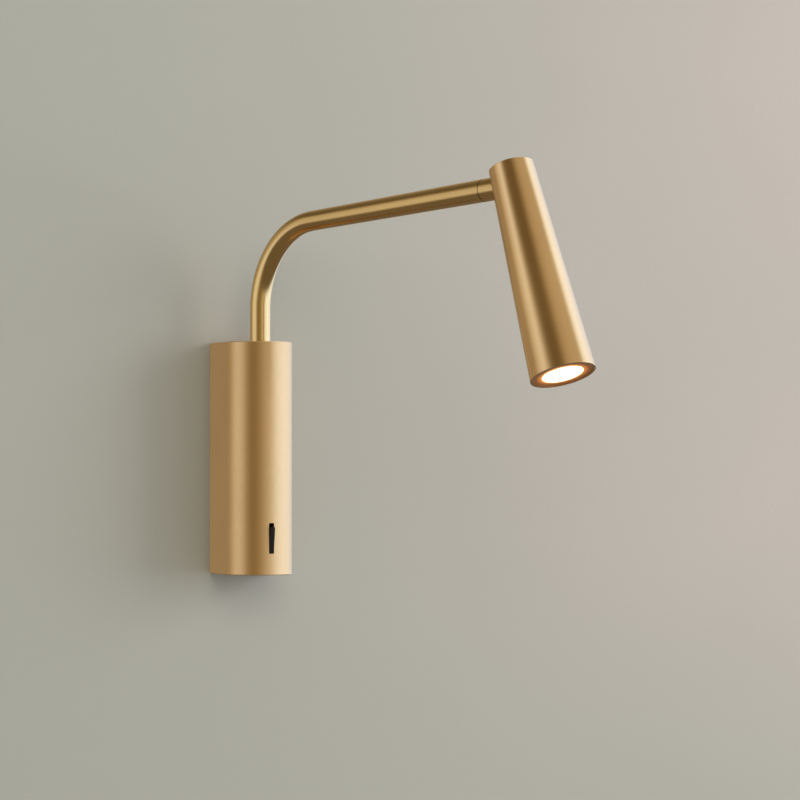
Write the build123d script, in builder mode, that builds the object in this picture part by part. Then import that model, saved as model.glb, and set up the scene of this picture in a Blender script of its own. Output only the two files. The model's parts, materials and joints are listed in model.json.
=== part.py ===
from build123d import *
import os
from math import asin, cos, degrees, radians, sin, sqrt, tan

# Bedside wall reading lamp, in millimetres and degrees.
# The origin is on the wall, between the two wall screws. +Z is up, the wall is the plane Y = 0
# and the room lies towards -Y.

# ---------------------------------------------------------------- clearances
THREAD_GAP = 0.05          # screw or pin to its hole, and pieces pressed or brazed together
RUNNING_GAP = 0.05         # shaft to bush
SLIDING_GAP = 0.3          # pieces that pass each other
COVER_GAP = 0.5            # flat pieces that only lie near each other

# ---------------------------------------------------------------- housing
body_width = 40.0
body_flat = 26.0           # depth of the flat sides, from the wall to the half-round front
body_height = 137.5
body_wall = 2.0
edge_break = 0.3           # broken edges all over
socket_share = 0.6         # depth of a screw's socket, as a share of its head
slot_share = 0.4           # depth of a screw's slot, likewise
top_thickness = 4.0
bottom_thickness = 3.0

bracket_thickness = 1.5
bracket_side_gap = 1.0     # bracket to the housing's inner sides
wall_screw_spacing = 60.0
wall_slot_width = 4.5
wall_slot_length = 9.0
bracket_tab_width = 20.0
bracket_tab_reach = 12.0   # from the wall
locating_pin_radius = 1.5
locating_pin_out = 6.0     # from the wall
locating_pin_length = 6.5
fixing_screw_out = 8.0     # from the wall
m3_radius = 1.5
m3_head_radius = 2.75
m3_head_height = 2.0
m3_socket_across = 2.0
m3_grip = 3.0              # thread length in the piece that it holds
screw_slot_width = 0.8

entry_height = -10.0       # mains cable entry, up from the middle of the housing
entry_radius = 4.0
grommet_neck_radius = 6.0
grommet_flange_radius = 7.5
grommet_flange = 3.0
earth_edge = 4.5           # earth screw to the bracket's right edge
earth_drop = 6.0           # earth screw below the cable entry
earth_radius = 2.0
earth_head_radius = 3.4
earth_head_height = 2.5
earth_head_round = 0.8
earth_washer_radius = 4.0
earth_washer_thickness = 1.0

carrier_out = 14.0         # wall to the component carrier's back face
carrier_thickness = 1.2
carrier_side_gap = 3.0     # carrier to the housing's inner sides
carrier_ear_width = 8.0
carrier_ear_depth = 5.2
carrier_screw_across = 11.0

terminal_width = 24.0
terminal_height = 12.0
terminal_depth = 9.5
terminal_low = 5.0         # its lower face, up from the middle of the housing
terminal_pitch = 7.0
terminal_poles = 3
wire_hole_radius = 1.6
wire_hole_depth = 6.0      # wire hole's axis, from the face that the screws enter
terminal_screw_radius = 1.5
terminal_screw_length = 3.0
terminal_screw_sink = 0.5

driver_width = 26.0
driver_depth = 20.0
driver_height = 42.0
driver_below_arm = 6.0     # driver's top to the foot of the arm's nipple
driver_wall = 1.2
driver_ear_width = 8.0
driver_ear_height = 5.0
driver_ear_thickness = 2.0
driver_board_thickness = 1.6
driver_board_gap = 2.6     # board to the case floor
transformer_width = 13.0
transformer_height = 12.0
transformer_depth = 10.0
transformer_up = 13.0      # its middle, up from the driver's lower face
capacitor_radius = 4.0
capacitor_length = 11.0
capacitor_up = 27.0
choke_radius = 2.3
choke_length = 7.0
choke_up = 4.2
choke_across = 7.0

# ---------------------------------------------------------------- rocker switch
switch_height = 21.6       # middle of the slot, up from the housing's bottom
slot_width = 3.2
slot_length = 18.0
slot_corner = 0.6
rocker_width = 2.6
rocker_half_length = 7.7
rocker_pivot_depth = 6.0   # behind the housing's front face
rocker_proud = 1.0         # middle of the key, in front of the housing's front face
rocker_crown = 0.35
rocker_corner = 0.9
rocker_neck_half = 6.9
rocker_tail_half = 2.0
rocker_tail = 3.0
rocker_tip = 8.0           # tipped this far from level when the lamp is on
rocker_pin_radius = 0.8
switch_body_width = 10.0
switch_body_height = 22.4
switch_body_depth = 15.0
switch_body_setback = 3.0  # its front, behind the housing's front face
switch_cavity_width = 3.6
switch_cavity_length = 18.4
switch_cavity_depth = 9.0
blade_thickness = 0.8
blade_width = 3.0
blade_length = 3.0
blade_across = 3.0
holder_wall = 1.6
holder_front = 8.0         # its front, behind the housing's front face
holder_window_width = 11.0
holder_window_height = 16.0
holder_screw_up = 9.6
core_radius = 0.9          # insulated single cores inside the housing
core_in_terminal = 3.0     # each core's end, up inside its terminal
core_drop = 17.0           # straight down from the terminal block
core_lean = 0.4            # towards the wall on the way down
core_pass = 5.2            # each core from the middle, where it passes behind the switch holder
core_pass_up = 14.6        # this passing place, above the middle of the switch
core_pass_out = 0.6
core_turn = 4.0            # where it turns to its blade, across and out
core_turn_up = 2.1

# ---------------------------------------------------------------- swivel and arm
riser_out = 29.0           # wall to the riser's axis
tube_radius = 6.0
tube_bore = 4.8
arm_tip_radius = 6.6
riser_straight = 19.6      # housing top to the start of the bend
bend_radius = 50.0
arm_straight = 143.5       # end of the bend to the middle of the seam
arm_rise = 3.6             # above level
arm_swing = 17.1           # to the right of straight out
swing_each_way = 90.0      # from straight out

thrust_washer_thickness = 0.4
thrust_washer_edge = 0.15  # set back from the tube's surface
nipple_radius = 4.75
nipple_bore = 1.9
nipple_in_tube = 14.0
nipple_bottom = 18.75      # below the housing's top
swivel_bush_radius = 6.0
swivel_flange_radius = 7.1
swivel_flange = 1.0
collar_thickness = 1.5
collar_radius = 7.1
collar_lobe_radius = 9.6
stop_pin_radius = 1.0
stop_pin_out = 8.7         # from the riser's axis
stop_pin_in_plate = 2.0
swivel_washer_radius = 8.0
swivel_washer_thickness = 1.0
swivel_spring_radius = 7.6
swivel_spring_height = 1.6
swivel_spring_sheet = 0.7
lock_nut_across = 14.0
lock_nut_height = 3.0
lead_radius = 1.5          # sheathed two-core lead to the lamp head

# ---------------------------------------------------------------- knuckle
knuckle_reach = 23.2       # middle of the seam to the tilt axis
seam_width = 0.5
seam_depth = 0.45
spigot_radius = 3.2
end_bush_length = 12.0
end_bush_wall_gap = 0.55   # tube left outside the bush seat, beyond the tube's bore
spin_washer_radius = 4.1
spin_washer_thickness = 0.8
spin_spring_height = 1.0
spin_spring_sheet = 0.5
spin_nut_across = 7.6
spin_nut_height = 2.6
spigot_tail = 1.2
spigot_flat = 2.7          # axis to the flat that keys the friction washer
spin_tab_width = 1.0       # stop tabs of the end bush and the friction washer
spin_tab_inner = 4.2
spin_tab_outer = 4.7
lead_bore = 1.8
tongue_width = 6.0
tongue_half_height = 4.0
tongue_window_near = 6.0   # lead window, from the tilt axis
tongue_window_far = 12.5
saddle_gap = 0.5           # knuckle's upper half to the cone
knuckle_entry = 11.6       # knuckle's lower half reaches into the cone, this near to the tilt axis

# ---------------------------------------------------------------- head
head_lean = 17.4           # bottom of the head leans this far out from square to the arm
head_roll = 2.5            # turned this far about the arm
tilt_in = 20.0             # from square to the arm, towards the housing
cone_top_radius = 12.5
cone_mouth_radius = 18.1
cone_above = 11.1          # tilt axis to the cone's top
cone_below = 112.3         # tilt axis to the mouth
cone_wall = 1.5
mouth_bore = 16.55
mouth_land = 9.0
cap_thickness = 2.0
cap_screw_radius = 1.0
cap_screw_head_radius = 1.9
cap_screw_length = 6.0
cap_socket_across = 1.3
cap_socket_depth = 1.0
pin_radius = 2.0
tilt_washer_thickness = 0.5
tilt_washer_radius = 3.9
block_top = 8.4            # above the tilt axis
block_web = 3.0
block_web_top = 10.0       # below the tilt axis
slot_side_gap = 0.5
slot_end_gap = 0.4
slot_round = 0.8

bezel_recess = 0.3         # mouth to the bezel's outer edge
bezel_dish = 0.2           # the bezel's face slopes in this much, down to the lens
bezel_lip = 0.7            # the bezel's inner edge, in front of the lens's flange
lens_recess = 0.3          # mouth to the lens's front face
bezel_height = 7.0
aperture_radius = 11.5
lens_radius = 13.6
lens_thickness = 2.0       # of its flange
lens_edge = 0.15
gasket_width = 1.6
gasket_thickness = 1.0
reflector_length = 16.0
reflector_wall = 1.0
reflector_throat = 5.2
board_radius = 12.0
board_thickness = 1.6
emitter_radius = 4.4
emitter_thickness = 0.7
board_screw_out = 9.3
board_screw_radius = 1.0
board_screw_head_radius = 1.9
board_screw_head_height = 1.2
board_screw_length = 5.0
board_wire_hole = 1.3
sink_foot = 6.0
sink_length = 38.0
sink_core_radius = 6.5
fin_count = 12
fin_thickness = 1.4

# ---------------------------------------------------------------- worked-out places
housing_top = body_height / 2
housing_bottom = -body_height / 2
front_out = body_flat + body_width / 2
inner_half = body_width / 2 - body_wall
top_underside = housing_top - top_thickness
bottom_upside = housing_bottom + bottom_thickness
carrier_front = carrier_out + carrier_thickness
switch_z = housing_bottom + switch_height


def d_plan(half_width):
    """Flat back, two flat sides and a half-round front, seen from above."""
    with Locations((0, -body_flat / 2)):
        Rectangle(2 * half_width, body_flat)
    with Locations((0, -body_flat)):
        Circle(half_width)


def ring_section(outer, inner):
    """Round ring in the sketch at hand."""
    Circle(outer)
    Circle(inner, mode=Mode.SUBTRACT)


def facing_room(out):
    """Vertical plane at this distance from the wall: its X is right, Y is up, Z is to the room."""
    return Plane.XZ.offset(out)


def level(height):
    return Plane.XY.offset(height)


def pan_screw(seat, radius, length, head_radius, head_height, socket):
    """Head on the seat plane's positive side, shank on the other, hexagon socket in the head."""
    with BuildSketch(seat) as head:
        Circle(head_radius)
    with BuildSketch(seat) as shank:
        Circle(radius)
    with BuildSketch(seat.offset(head_height)) as key:
        RegularPolygon(socket / 2, 6, major_radius=False)
    extrude(head.sketch, amount=head_height)
    extrude(shank.sketch, amount=-length)
    extrude(key.sketch, amount=-head_height * socket_share, mode=Mode.SUBTRACT)


def cone_spring(base, outer, inner, height, sheet):
    """Dished spring washer that stands on the base plane."""
    section = Plane(origin=base.origin, x_dir=base.x_dir, z_dir=-base.y_dir)
    with BuildSketch(section) as profile:
        with BuildLine():
            Polyline(
                (inner, height - sheet),
                (inner, height),
                (outer, sheet),
                (outer, 0),
                close=True,
            )
        make_face()
    revolve(profile.sketch, axis=Axis(base.origin, base.z_dir))


# ================================================================ housing
with BuildPart() as housing_shell:
    with BuildSketch(level(housing_bottom)):
        d_plan(body_width / 2)
    extrude(amount=body_height)
    chamfer(housing_shell.faces().sort_by(Axis.Z)[-1].edges(), edge_break)
    chamfer(housing_shell.faces().sort_by(Axis.Z)[0].edges(), edge_break)
    with BuildSketch(level(housing_bottom)):
        d_plan(inner_half)
    extrude(amount=body_height, mode=Mode.SUBTRACT)
    with BuildSketch(facing_room(body_flat)):
        with Locations((0, switch_z)):
            RectangleRounded(slot_width, slot_length, slot_corner)
    extrude(amount=body_width, mode=Mode.SUBTRACT)

with BuildPart() as housing_top_plate:
    with BuildSketch(level(top_underside)):
        d_plan(inner_half - THREAD_GAP)
    extrude(amount=top_thickness)
    with BuildSketch(level(top_underside)):
        with Locations((0, -riser_out)):
            Circle(swivel_bush_radius + THREAD_GAP)
    extrude(amount=top_thickness, mode=Mode.SUBTRACT)
    with BuildSketch(level(top_underside)):
        with Locations((0, -riser_out + stop_pin_out)):
            Circle(stop_pin_radius + THREAD_GAP)
    extrude(amount=stop_pin_in_plate, mode=Mode.SUBTRACT)
    with BuildSketch(level(top_underside)):
        with Locations((0, -locating_pin_out)):
            Circle(locating_pin_radius + THREAD_GAP)
    extrude(amount=top_thickness / 2, mode=Mode.SUBTRACT)
    with BuildSketch(level(top_underside)):
        for across in (-carrier_screw_across, carrier_screw_across):
            with Locations((across, -carrier_front - carrier_ear_depth / 2)):
                Circle(m3_radius + THREAD_GAP)
    extrude(amount=m3_grip + THREAD_GAP, mode=Mode.SUBTRACT)

with BuildPart() as housing_bottom_plate:
    with BuildSketch(level(housing_bottom)):
        d_plan(inner_half - THREAD_GAP)
    extrude(amount=bottom_thickness)
    with Locations(Plane(origin=(0, -fixing_screw_out, housing_bottom), z_dir=(0, 0, -1))):
        CounterSinkHole(m3_radius + THREAD_GAP, m3_head_radius + THREAD_GAP)

with BuildPart() as locating_pin:
    with BuildSketch(level(top_underside + top_thickness / 2)):
        with Locations((0, -locating_pin_out)):
            Circle(locating_pin_radius)
    extrude(amount=-locating_pin_length)
    chamfer(locating_pin.faces().sort_by(Axis.Z)[0].edges(), edge_break)

# ---------------------------------------------------------------- wall bracket
bracket_width = 2 * (inner_half - bracket_side_gap)
earth_across = bracket_width / 2 - earth_edge
earth_height = entry_height - earth_drop
bracket_top = top_underside - COVER_GAP
bracket_bottom = bottom_upside + COVER_GAP

with BuildPart() as wall_bracket:
    with BuildSketch(facing_room(0)):
        with Locations((0, (bracket_top + bracket_bottom) / 2)):
            Rectangle(bracket_width, bracket_top - bracket_bottom)
        with Locations((0, wall_screw_spacing / 2), (0, -wall_screw_spacing / 2)):
            SlotOverall(wall_slot_length, wall_slot_width, rotation=90, mode=Mode.SUBTRACT)
        with Locations((0, entry_height)):
            Circle(grommet_neck_radius + THREAD_GAP, mode=Mode.SUBTRACT)
        with Locations((earth_across, earth_height)):
            Circle(earth_radius + THREAD_GAP, mode=Mode.SUBTRACT)
    extrude(amount=bracket_thickness)
    with BuildSketch(level(bracket_top)):
        with Locations((0, -bracket_tab_reach / 2)):
            Rectangle(bracket_tab_width, bracket_tab_reach)
        with Locations((0, -locating_pin_out)):
            Circle(locating_pin_radius + SLIDING_GAP, mode=Mode.SUBTRACT)
    extrude(amount=-bracket_thickness)
    with BuildSketch(level(bracket_bottom)):
        with Locations((0, -bracket_tab_reach / 2)):
            Rectangle(bracket_tab_width, bracket_tab_reach)
        with Locations((0, -fixing_screw_out)):
            Circle(m3_radius + THREAD_GAP, mode=Mode.SUBTRACT)
    extrude(amount=bracket_thickness)

with BuildPart() as fixing_screw:
    sink_depth = m3_head_radius - m3_radius
    fixing_length = bracket_bottom + bracket_thickness + COVER_GAP - housing_bottom
    fixing_foot = Vector(0, -fixing_screw_out, housing_bottom)
    with BuildSketch(Plane(fixing_foot, x_dir=(1, 0, 0), z_dir=(0, -1, 0))):
        with BuildLine():
            Polyline(
                (0, 0),
                (m3_head_radius, 0),
                (m3_radius, sink_depth),
                (m3_radius, fixing_length),
                (0, fixing_length),
                close=True,
            )
        make_face()
    revolve(axis=Axis(fixing_foot, (0, 0, 1)))
    with BuildSketch(Plane(fixing_foot, z_dir=(0, 0, 1))):
        RegularPolygon(m3_socket_across / 2, 6, major_radius=False)
    extrude(amount=sink_depth, mode=Mode.SUBTRACT)

with BuildPart() as cable_grommet:
    with BuildSketch(facing_room(0)):
        with Locations((0, entry_height)):
            Circle(grommet_neck_radius)
    extrude(amount=bracket_thickness)
    with BuildSketch(facing_room(bracket_thickness)):
        with Locations((0, entry_height)):
            Circle(grommet_flange_radius)
    extrude(amount=grommet_flange)
    fillet(cable_grommet.faces().sort_by(Axis.Y)[0].edges(), edge_break)
    with BuildSketch(facing_room(0)):
        with Locations((0, entry_height)):
            Circle(entry_radius)
    extrude(amount=bracket_thickness + grommet_flange, mode=Mode.SUBTRACT)

with BuildPart() as earth_washer:
    with BuildSketch(facing_room(bracket_thickness)):
        with Locations((earth_across, earth_height)):
            ring_section(earth_washer_radius, earth_radius + THREAD_GAP)
    extrude(amount=earth_washer_thickness)

with BuildPart() as earth_screw:
    earth_seat = bracket_thickness + earth_washer_thickness
    with BuildSketch(facing_room(COVER_GAP)):
        with Locations((earth_across, earth_height)):
            Circle(earth_radius)
    extrude(amount=earth_seat - COVER_GAP)
    with BuildSketch(facing_room(earth_seat)):
        with Locations((earth_across, earth_height)):
            Circle(earth_head_radius)
    extrude(amount=earth_head_height)
    fillet(earth_screw.faces().sort_by(Axis.Y)[0].edges(), earth_head_round)
    with BuildSketch(facing_room(earth_seat + earth_head_height)):
        with Locations((earth_across, earth_height)):
            Rectangle(2 * earth_head_radius, screw_slot_width)
    extrude(amount=-earth_head_height * slot_share, mode=Mode.SUBTRACT)

# ---------------------------------------------------------------- component carrier
driver_low = housing_top - nipple_bottom - driver_below_arm - driver_height
carrier_width = 2 * (inner_half - carrier_side_gap)
carrier_bottom = bottom_upside + SLIDING_GAP
carrier_ear_middle = (carrier_width - carrier_ear_width) / 2
driver_screw_places = (
    driver_low - driver_ear_height / 2,
    driver_low + driver_height + driver_ear_height / 2,
)
holder_screw_places = (switch_z - holder_screw_up, switch_z + holder_screw_up)

with BuildPart() as component_carrier:
    with BuildSketch(facing_room(carrier_out)):
        with Locations((0, (top_underside + carrier_bottom) / 2)):
            Rectangle(carrier_width, top_underside - carrier_bottom)
        with Locations((0, switch_z)):
            Rectangle(holder_window_width, holder_window_height, mode=Mode.SUBTRACT)
        for height in driver_screw_places + holder_screw_places:
            with Locations((0, height)):
                Circle(m3_radius + THREAD_GAP, mode=Mode.SUBTRACT)
    extrude(amount=carrier_thickness)
    with BuildSketch(level(top_underside)):
        for across in (-1, 1):
            with Locations((across * carrier_ear_middle, -carrier_front - carrier_ear_depth / 2)):
                Rectangle(carrier_ear_width, carrier_ear_depth)
            with Locations((across * carrier_screw_across, -carrier_front - carrier_ear_depth / 2)):
                Circle(m3_radius + THREAD_GAP, mode=Mode.SUBTRACT)
    extrude(amount=-carrier_thickness)

with BuildPart() as carrier_screws:
    for across in (-carrier_screw_across, carrier_screw_across):
        seat = Plane(
            origin=(across, -carrier_front - carrier_ear_depth / 2, top_underside - carrier_thickness),
            z_dir=(0, 0, -1),
        )
        pan_screw(
            seat,
            m3_radius,
            carrier_thickness + m3_grip,
            m3_head_radius - SLIDING_GAP,
            m3_head_height,
            m3_socket_across,
        )

# ---------------------------------------------------------------- LED driver
driver_middle = driver_low + driver_height / 2
driver_front = carrier_front + driver_depth
board_out = carrier_front + driver_wall + driver_board_gap
parts_out = board_out + driver_board_thickness

with BuildPart() as driver_case:
    with BuildSketch(facing_room(carrier_front)):
        with Locations((0, driver_middle)):
            Rectangle(driver_width, driver_height)
    extrude(amount=driver_depth - driver_wall)
    with BuildSketch(facing_room(carrier_front)):
        for height in driver_screw_places:
            with Locations((0, height)):
                Rectangle(driver_ear_width, driver_ear_height)
                Circle(m3_radius + THREAD_GAP, mode=Mode.SUBTRACT)
    extrude(amount=driver_ear_thickness)
    with BuildSketch(facing_room(carrier_front + driver_wall)):
        with Locations((0, driver_middle)):
            Rectangle(driver_width - 2 * driver_wall, driver_height - 2 * driver_wall)
    extrude(amount=driver_depth, mode=Mode.SUBTRACT)
    with BuildSketch(level(driver_low + driver_height)):
        with Locations((0, -riser_out)):
            Circle(lead_radius + SLIDING_GAP)
    extrude(amount=-2 * driver_wall, mode=Mode.SUBTRACT)
    with BuildSketch(facing_room(board_out - driver_board_gap)):
        for across in (-1, 1):
            for height in (-1, 1):
                with Locations(
                    (
                        across * (driver_width / 2 - 2 * driver_wall),
                        driver_middle + height * (driver_height / 2 - 2 * driver_wall),
                    )
                ):
                    Circle(driver_wall)
    extrude(amount=driver_board_gap)

with BuildPart() as driver_cover:
    with BuildSketch(facing_room(driver_front - driver_wall)):
        with Locations((0, driver_middle)):
            RectangleRounded(driver_width, driver_height, driver_wall)
    extrude(amount=driver_wall)
    chamfer(driver_cover.faces().sort_by(Axis.Y)[0].edges(), edge_break)

with BuildPart() as driver_board:
    with BuildSketch(facing_room(board_out)):
        with Locations((0, driver_middle)):
            Rectangle(
                driver_width - 2 * driver_wall - 2 * SLIDING_GAP,
                driver_height - 2 * driver_wall - 2 * SLIDING_GAP,
            )
    extrude(amount=driver_board_thickness)

with BuildPart() as driver_transformer:
    with BuildSketch(facing_room(parts_out)):
        with Locations((0, driver_low + transformer_up)):
            Rectangle(transformer_width, transformer_height)
    extrude(amount=transformer_depth)

with BuildPart() as driver_capacitor:
    with BuildSketch(facing_room(parts_out)):
        with Locations((0, driver_low + capacitor_up)):
            Circle(capacitor_radius)
    extrude(amount=capacitor_length)

with BuildPart() as driver_chokes:
    with BuildSketch(facing_room(parts_out)):
        for across in (-choke_across, choke_across):
            with Locations((across, driver_low + choke_up)):
                Circle(choke_radius)
    extrude(amount=choke_length)

with BuildPart() as driver_screws:
    for height in driver_screw_places:
        seat = Plane(
            origin=(0, -carrier_front - driver_ear_thickness, height), z_dir=(0, -1, 0)
        )
        pan_screw(
            seat,
            m3_radius,
            driver_ear_thickness + carrier_thickness,
            driver_ear_height / 2 - THREAD_GAP,
            m3_head_height,
            m3_socket_across,
        )

# ---------------------------------------------------------------- terminal block
terminal_out = carrier_out - terminal_depth
terminal_middle = terminal_low + terminal_height / 2
pole_places = [
    (pole - (terminal_poles - 1) / 2) * terminal_pitch for pole in range(terminal_poles)
]

with BuildPart() as terminal_block:
    with BuildSketch(facing_room(terminal_out)):
        with Locations((0, terminal_middle)):
            Rectangle(terminal_width, terminal_height)
    extrude(amount=terminal_depth)
    chamfer(terminal_block.faces().sort_by(Axis.Y)[-1].edges(), edge_break)
    with BuildSketch(level(terminal_low)):
        with Locations([(across, -terminal_out - wire_hole_depth) for across in pole_places]):
            Circle(wire_hole_radius)
    extrude(amount=terminal_height, mode=Mode.SUBTRACT)
    with BuildSketch(facing_room(terminal_out)):
        with Locations([(across, terminal_middle) for across in pole_places]):
            Circle(terminal_screw_radius + THREAD_GAP)
    extrude(amount=wire_hole_depth, mode=Mode.SUBTRACT)

with BuildPart() as terminal_screws:
    with BuildSketch(facing_room(terminal_out + terminal_screw_sink)):
        with Locations([(across, terminal_middle) for across in pole_places]):
            Circle(terminal_screw_radius)
    extrude(amount=terminal_screw_length)
    with BuildSketch(facing_room(terminal_out + terminal_screw_sink)):
        with Locations([(across, terminal_middle) for across in pole_places]):
            Rectangle(2 * terminal_screw_radius, screw_slot_width)
    extrude(amount=terminal_screw_length * slot_share, mode=Mode.SUBTRACT)

# ---------------------------------------------------------------- rocker switch
pivot_out = front_out - rocker_pivot_depth
switch_front = front_out - switch_body_setback
switch_back = switch_front - switch_body_depth
holder_front_out = front_out - holder_front
rocker_tilt = radians(rocker_tip)
rocker_plane = Plane(
    origin=(0, -pivot_out, switch_z),
    x_dir=(0, -cos(rocker_tilt), -sin(rocker_tilt)),
    z_dir=(-1, 0, 0),
)
key_face = rocker_pivot_depth + rocker_proud

with BuildPart() as switch_rocker:
    with BuildSketch(rocker_plane):
        with BuildLine():
            ThreePointArc(
                (key_face, -rocker_half_length),
                (key_face + rocker_crown, 0),
                (key_face, rocker_half_length),
            )
            Polyline(
                (key_face, rocker_half_length),
                (rocker_proud + rocker_corner, rocker_neck_half),
                (-rocker_tail, rocker_tail_half),
                (-rocker_tail, -rocker_tail_half),
                (rocker_proud + rocker_corner, -rocker_neck_half),
                (key_face, -rocker_half_length),
            )
        make_face()
        Circle(rocker_pin_radius + RUNNING_GAP, mode=Mode.SUBTRACT)
    extrude(amount=rocker_width / 2, both=True)

with BuildPart() as switch_pivot_pin:
    with BuildSketch(Plane.YZ.offset(-switch_body_width / 2 + COVER_GAP)):
        with Locations((-pivot_out, switch_z)):
            Circle(rocker_pin_radius)
    extrude(amount=switch_body_width - 2 * COVER_GAP)

with BuildPart() as switch_body:
    with BuildSketch(facing_room(switch_back)):
        with Locations((0, switch_z)):
            Rectangle(switch_body_width, switch_body_height)
    extrude(amount=switch_body_depth)
    with BuildSketch(facing_room(switch_front)):
        with Locations((0, switch_z)):
            Rectangle(switch_cavity_width, switch_cavity_length)
    extrude(amount=-switch_cavity_depth, mode=Mode.SUBTRACT)
    with BuildSketch(Plane.YZ.offset(-switch_body_width / 2 + COVER_GAP)):
        with Locations((-pivot_out, switch_z)):
            Circle(rocker_pin_radius + THREAD_GAP)
    extrude(amount=switch_body_width - 2 * COVER_GAP, mode=Mode.SUBTRACT)

with BuildPart() as switch_terminals:
    with BuildSketch(facing_room(switch_back - blade_length)):
        with Locations((-blade_across, switch_z), (blade_across, switch_z)):
            Rectangle(blade_thickness, blade_width)
    extrude(amount=blade_length)

with BuildPart() as switch_holder:
    holder_width = switch_body_width + 2 * (holder_wall + SLIDING_GAP)
    holder_height = 2 * (holder_screw_up + m3_radius + holder_wall)
    with BuildSketch(facing_room(carrier_front)):
        with Locations((0, switch_z)):
            Rectangle(holder_width, holder_height)
    extrude(amount=holder_front_out - carrier_front)
    with BuildSketch(facing_room(carrier_front)):
        with Locations((0, switch_z)):
            Rectangle(holder_window_width, holder_window_height)
    extrude(amount=switch_back - carrier_front, mode=Mode.SUBTRACT)
    with BuildSketch(facing_room(switch_back)):
        with Locations((0, switch_z)):
            Rectangle(switch_body_width + SLIDING_GAP, switch_body_height + SLIDING_GAP)
    extrude(amount=switch_body_depth, mode=Mode.SUBTRACT)
    with BuildSketch(facing_room(carrier_front)):
        with Locations([(0, height) for height in holder_screw_places]):
            Circle(m3_radius + THREAD_GAP)
    extrude(amount=m3_grip + COVER_GAP, mode=Mode.SUBTRACT)

with BuildPart() as holder_screws:
    for height in holder_screw_places:
        seat = Plane(origin=(0, -carrier_out, height), z_dir=(0, 1, 0))
        pan_screw(
            seat,
            m3_radius,
            carrier_thickness + m3_grip,
            m3_head_radius - SLIDING_GAP,
            m3_head_height,
            m3_socket_across,
        )

# ---------------------------------------------------------------- arm swivel
arm_heading = radians(arm_swing)


def at_riser(height):
    """Level plane centred on the riser's axis, its X along the arm's heading."""
    return Plane(
        origin=(0, -riser_out, height),
        x_dir=(sin(arm_heading), -cos(arm_heading), 0),
        z_dir=(0, 0, 1),
    )


tube_foot = housing_top + thrust_washer_thickness
collar_top = top_underside - swivel_flange
friction_top = collar_top - collar_thickness
spring_top = friction_top - swivel_washer_thickness
nut_top = spring_top - swivel_spring_height
nipple_foot = housing_top - nipple_bottom
stop_clear = degrees(asin((stop_pin_radius + SLIDING_GAP) / stop_pin_out))
lobe_angle = 360 - 2 * swing_each_way - 2 * stop_clear

with BuildPart() as swivel_bush:
    with BuildSketch(at_riser(top_underside)):
        ring_section(swivel_bush_radius, nipple_radius + RUNNING_GAP)
    extrude(amount=top_thickness)
    with BuildSketch(at_riser(top_underside)):
        ring_section(swivel_flange_radius, nipple_radius + RUNNING_GAP)
    extrude(amount=-swivel_flange)

with BuildPart() as stop_pin:
    with BuildSketch(level(top_underside + stop_pin_in_plate)):
        with Locations((0, -riser_out + stop_pin_out)):
            Circle(stop_pin_radius)
    extrude(amount=friction_top - top_underside - stop_pin_in_plate)

with BuildPart() as thrust_washer:
    with BuildSketch(at_riser(housing_top)):
        ring_section(tube_radius - thrust_washer_edge, nipple_radius + THREAD_GAP)
    extrude(amount=thrust_washer_thickness)

with BuildPart() as swivel_nipple:
    with BuildSketch(at_riser(nipple_foot)):
        ring_section(nipple_radius, nipple_bore)
    extrude(amount=tube_foot + nipple_in_tube - nipple_foot)

with BuildPart() as stop_collar:
    lobe_half = radians(lobe_angle / 2)
    with BuildSketch(at_riser(collar_top)):
        Circle(collar_radius)
        with BuildLine():
            lobe_tip = (collar_lobe_radius * cos(lobe_half), collar_lobe_radius * sin(lobe_half))
            ThreePointArc(
                (lobe_tip[0], -lobe_tip[1]), (collar_lobe_radius, 0), (lobe_tip[0], lobe_tip[1])
            )
            Polyline((lobe_tip[0], lobe_tip[1]), (0, 0), (lobe_tip[0], -lobe_tip[1]))
        make_face()
        Circle(nipple_radius + THREAD_GAP, mode=Mode.SUBTRACT)
    extrude(amount=-collar_thickness)

with BuildPart() as friction_washer:
    with BuildSketch(at_riser(friction_top)):
        ring_section(swivel_washer_radius, nipple_radius + THREAD_GAP)
    extrude(amount=-swivel_washer_thickness)

with BuildPart() as spring_washer:
    cone_spring(
        at_riser(nut_top),
        swivel_spring_radius,
        nipple_radius + THREAD_GAP,
        swivel_spring_height,
        swivel_spring_sheet,
    )

with BuildPart() as lock_nuts:
    for nut in range(2):
        with BuildSketch(at_riser(nut_top - nut * (lock_nut_height + THREAD_GAP))):
            RegularPolygon(lock_nut_across / 2, 6, major_radius=False)
            Circle(nipple_radius + THREAD_GAP, mode=Mode.SUBTRACT)
        extrude(amount=-lock_nut_height)

# ================================================================ arm
bend_turn = 90.0 - arm_rise
arm_plane = Plane(
    origin=(0, -riser_out, housing_top),
    x_dir=(sin(arm_heading), -cos(arm_heading), 0),
    z_dir=(-cos(arm_heading), -sin(arm_heading), 0),
)


def arm_point(along, up):
    """Point in the arm's upright plane, from the middle of the housing's top."""
    return arm_plane.from_local_coords(Vector(along, up, 0))


def bend_point(turn):
    """Point of the centre line, where it has turned this far from upright."""
    return arm_point(
        bend_radius * (1 - cos(radians(turn))), riser_straight + bend_radius * sin(radians(turn))
    )


arm_direction = arm_plane.x_dir * cos(radians(arm_rise)) + Vector(0, 0, sin(radians(arm_rise)))
bend_start = bend_point(0)
bend_middle = bend_point(bend_turn / 2)
bend_end = bend_point(bend_turn)
seam_middle = bend_end + arm_direction * arm_straight
pivot = seam_middle + arm_direction * knuckle_reach

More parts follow.
